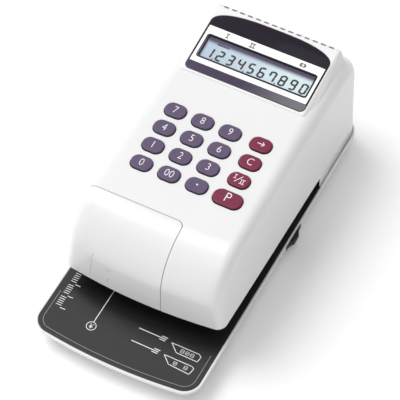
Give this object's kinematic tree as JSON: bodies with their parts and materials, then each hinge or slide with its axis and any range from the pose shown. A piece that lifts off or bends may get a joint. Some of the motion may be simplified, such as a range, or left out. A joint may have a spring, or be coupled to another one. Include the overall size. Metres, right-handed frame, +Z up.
{
  "type": "check writer",
  "caption": "Desk machine that prints an amount on a check: a keypad and display head over a flat table, with an open throat at its front and sides.",
  "frame": {"origin": "Middle of the footprint, on the surface that the rubber feet stand on.", "axes": "+X is the operator's right, -Y is the front, +Z is up."},
  "size_m": [0.1328, 0.281, 0.1055],
  "materials": {
    "white_case": "moulded white ABS, satin gloss",
    "black_table": "moulded black ABS, fine grain",
    "foot_rubber": "moulded rubber",
    "display_window": "clear acrylic, printed from behind",
    "lcd": "liquid crystal glass in a frame",
    "board": "green solder resist",
    "silicone_mat": "silicone rubber",
    "screw_steel": "zinc plated",
    "zinc_steel": "pressed sheet, zinc plated",
    "shaft_steel": "turned",
    "type_black": "moulded hard plastic",
    "gear_brass": "hobbed",
    "motor_steel": "drawn can",
    "ink_foam": "ink-soaked foam",
    "ivory_plastic": "acetal",
    "dark_plastic": "moulded dark plastic",
    "roller_rubber": "ground rubber",
    "slider_black": "moulded black ABS",
    "cell_jacket": "printed film jacket",
    "key_grey": "moulded ABS, satin",
    "key_red": "moulded ABS, satin"
  },
  "bodies": {
    "case": {"lower_case": "white_case", "table_plate": "black_table", "rubber_feet": "foot_rubber", "upper_housing": "white_case", "throat_guide": "black_table", "display_panel": "display_window", "lcd_module": "lcd", "keypad_board": "board", "key_mat": "silicone_mat", "screws": "screw_steel", "frame": "zinc_steel", "anvil": "zinc_steel", "arm_pivot_shaft": "shaft_steel", "arm_spring": "shaft_steel", "cam_motor": "motor_steel", "feed_bearings": "ivory_plastic", "feed_motor": "motor_steel", "pinch_shafts": "shaft_steel", "main_board": "board", "switch_body": "dark_plastic", "dc_jack": "dark_plastic", "battery_cells": "cell_jacket"},
    "ink_cover": {"ink_cover": "white_case"},
    "power_slider": {"power_slider": "slider_black"},
    "battery_door": {"battery_door": "white_case"},
    "print_arm": {"print_arm": "zinc_steel", "type_motor": "motor_steel", "ink_holder": "dark_plastic"},
    "type_wheel": {"type_wheel": "type_black", "type_shaft": "shaft_steel", "type_gear": "gear_brass"},
    "type_pinion": {"type_pinion": "gear_brass"},
    "ink_roller": {"ink_roller": "ink_foam", "ink_roller_core": "ivory_plastic"},
    "cam": {"cam": "ivory_plastic", "cam_shaft": "shaft_steel", "cam_gear": "gear_brass"},
    "cam_pinion": {"cam_pinion": "gear_brass"},
    "feed_shaft": {"feed_shaft": "shaft_steel", "feed_rollers": "roller_rubber", "feed_gear": "gear_brass"},
    "feed_pinion": {"feed_pinion": "gear_brass"},
    "pinch_roller_front": {"pinch_roller_front": "roller_rubber"},
    "pinch_roller_rear": {"pinch_roller_rear": "roller_rubber"},
    "key_0": {"key_0": "key_grey"},
    "key_00": {"key_00": "key_grey"},
    "key_point": {"key_point": "key_grey"},
    "key_print": {"key_print": "key_red"},
    "key_1": {"key_1": "key_grey"},
    "key_2": {"key_2": "key_grey"},
    "key_3": {"key_3": "key_grey"},
    "key_mode": {"key_mode": "key_red"},
    "key_4": {"key_4": "key_grey"},
    "key_5": {"key_5": "key_grey"},
    "key_6": {"key_6": "key_grey"},
    "key_clear": {"key_clear": "key_red"},
    "key_7": {"key_7": "key_grey"},
    "key_8": {"key_8": "key_grey"},
    "key_9": {"key_9": "key_grey"},
    "key_arrow": {"key_arrow": "key_red"}
  },
  "joints": [
    {"name": "key_0_press", "type": "slide", "parent": "case", "child": "key_0", "axis": [0, 0.0436, -0.999], "range_m": [0, 0.0013], "stiffness_N_per_m": 600},
    {"name": "key_00_press", "type": "slide", "parent": "case", "child": "key_00", "axis": [0, 0.0436, -0.999], "range_m": [0, 0.0013], "stiffness_N_per_m": 600},
    {"name": "key_point_press", "type": "slide", "parent": "case", "child": "key_point", "axis": [0, 0.0436, -0.999], "range_m": [0, 0.0013], "stiffness_N_per_m": 600},
    {"name": "key_print_press", "type": "slide", "parent": "case", "child": "key_print", "axis": [0, 0.0436, -0.999], "range_m": [0, 0.0013], "stiffness_N_per_m": 600},
    {"name": "key_1_press", "type": "slide", "parent": "case", "child": "key_1", "axis": [0, 0.0436, -0.999], "range_m": [0, 0.0013], "stiffness_N_per_m": 600},
    {"name": "key_2_press", "type": "slide", "parent": "case", "child": "key_2", "axis": [0, 0.0436, -0.999], "range_m": [0, 0.0013], "stiffness_N_per_m": 600},
    {"name": "key_3_press", "type": "slide", "parent": "case", "child": "key_3", "axis": [0, 0.0436, -0.999], "range_m": [0, 0.0013], "stiffness_N_per_m": 600},
    {"name": "key_mode_press", "type": "slide", "parent": "case", "child": "key_mode", "axis": [0, 0.0436, -0.999], "range_m": [0, 0.0013], "stiffness_N_per_m": 600},
    {"name": "key_4_press", "type": "slide", "parent": "case", "child": "key_4", "axis": [0, 0.0436, -0.999], "range_m": [0, 0.0013], "stiffness_N_per_m": 600},
    {"name": "key_5_press", "type": "slide", "parent": "case", "child": "key_5", "axis": [0, 0.0436, -0.999], "range_m": [0, 0.0013], "stiffness_N_per_m": 600},
    {"name": "key_6_press", "type": "slide", "parent": "case", "child": "key_6", "axis": [0, 0.0436, -0.999], "range_m": [0, 0.0013], "stiffness_N_per_m": 600},
    {"name": "key_clear_press", "type": "slide", "parent": "case", "child": "key_clear", "axis": [0, 0.0436, -0.999], "range_m": [0, 0.0013], "stiffness_N_per_m": 600},
    {"name": "key_7_press", "type": "slide", "parent": "case", "child": "key_7", "axis": [0, 0.0436, -0.999], "range_m": [0, 0.0013], "stiffness_N_per_m": 600},
    {"name": "key_8_press", "type": "slide", "parent": "case", "child": "key_8", "axis": [0, 0.0436, -0.999], "range_m": [0, 0.0013], "stiffness_N_per_m": 600},
    {"name": "key_9_press", "type": "slide", "parent": "case", "child": "key_9", "axis": [0, 0.0436, -0.999], "range_m": [0, 0.0013], "stiffness_N_per_m": 600},
    {"name": "key_arrow_press", "type": "slide", "parent": "case", "child": "key_arrow", "axis": [0, 0.0436, -0.999], "range_m": [0, 0.0013], "stiffness_N_per_m": 600},
    {"name": "cover_lift", "type": "slide", "parent": "case", "child": "ink_cover", "axis": [0, -0.766, 0.6428], "range_m": [0, 0.03]},
    {"name": "power_slide", "type": "slide", "parent": "case", "child": "power_slider", "axis": [0, 1, 0], "range_m": [0, 0.004]},
    {"name": "door_slide", "type": "slide", "parent": "case", "child": "battery_door", "axis": [0, -1, 0], "range_m": [0, 0.006]},
    {"name": "print_stroke", "type": "hinge", "parent": "case", "child": "print_arm", "pos_m": [0, -0.014, 0.046], "axis": [1, 0, 0], "range_deg": [0, 1.6], "stiffness_Nm_per_rad": 0.2, "springref_deg": -9.17, "deforming": ["arm_spring"]},
    {"name": "type_spin", "type": "hinge", "parent": "print_arm", "child": "type_wheel", "pos_m": [-0.026, -0.055, 0.0314], "axis": [1, 0, 0], "continuous": true},
    {"name": "type_pinion_spin", "type": "hinge", "parent": "print_arm", "child": "type_pinion", "pos_m": [-0.02, -0.0496, 0.04075], "axis": [1, 0, 0], "continuous": true},
    {"name": "ink_spin", "type": "hinge", "parent": "print_arm", "child": "ink_roller", "pos_m": [-0.026, -0.06935, 0.04575], "axis": [1, 0, 0], "continuous": true},
    {"name": "cam_turn", "type": "hinge", "parent": "case", "child": "cam", "pos_m": [-0.016, 0.016, 0.0364], "axis": [1, 0, 0], "range_deg": [0, 150]},
    {"name": "cam_pinion_turn", "type": "hinge", "parent": "case", "child": "cam_pinion", "pos_m": [-0.0047, 0.02364, 0.04404], "axis": [1, 0, 0], "range_deg": [-300, 0]},
    {"name": "feed_spin", "type": "hinge", "parent": "case", "child": "feed_shaft", "pos_m": [0.03, 0, 0.0318], "axis": [0, 1, 0], "continuous": true},
    {"name": "feed_pinion_spin", "type": "hinge", "parent": "case", "child": "feed_pinion", "pos_m": [0.03, 0.0776, 0.0446], "axis": [0, 1, 0], "continuous": true},
    {"name": "pinch_front_spin", "type": "hinge", "parent": "case", "child": "pinch_roller_front", "pos_m": [0.03, -0.025, 0.013], "axis": [0, 1, 0], "continuous": true},
    {"name": "pinch_rear_spin", "type": "hinge", "parent": "case", "child": "pinch_roller_rear", "pos_m": [0.03, 0.015, 0.013], "axis": [0, 1, 0], "continuous": true}
  ],
  "couplings": [
    {"joint": "type_pinion_spin", "follows": "type_spin", "ratio": -2},
    {"joint": "ink_spin", "follows": "type_spin", "ratio": -1.8571},
    {"joint": "print_stroke", "follows": "cam_turn", "ratio": 0.010667},
    {"joint": "cam_pinion_turn", "follows": "cam_turn", "ratio": -2},
    {"joint": "feed_pinion_spin", "follows": "feed_spin", "ratio": -1.6667},
    {"joint": "pinch_front_spin", "follows": "feed_spin", "ratio": -3.625},
    {"joint": "pinch_rear_spin", "follows": "feed_spin", "ratio": -3.625}
  ]
}
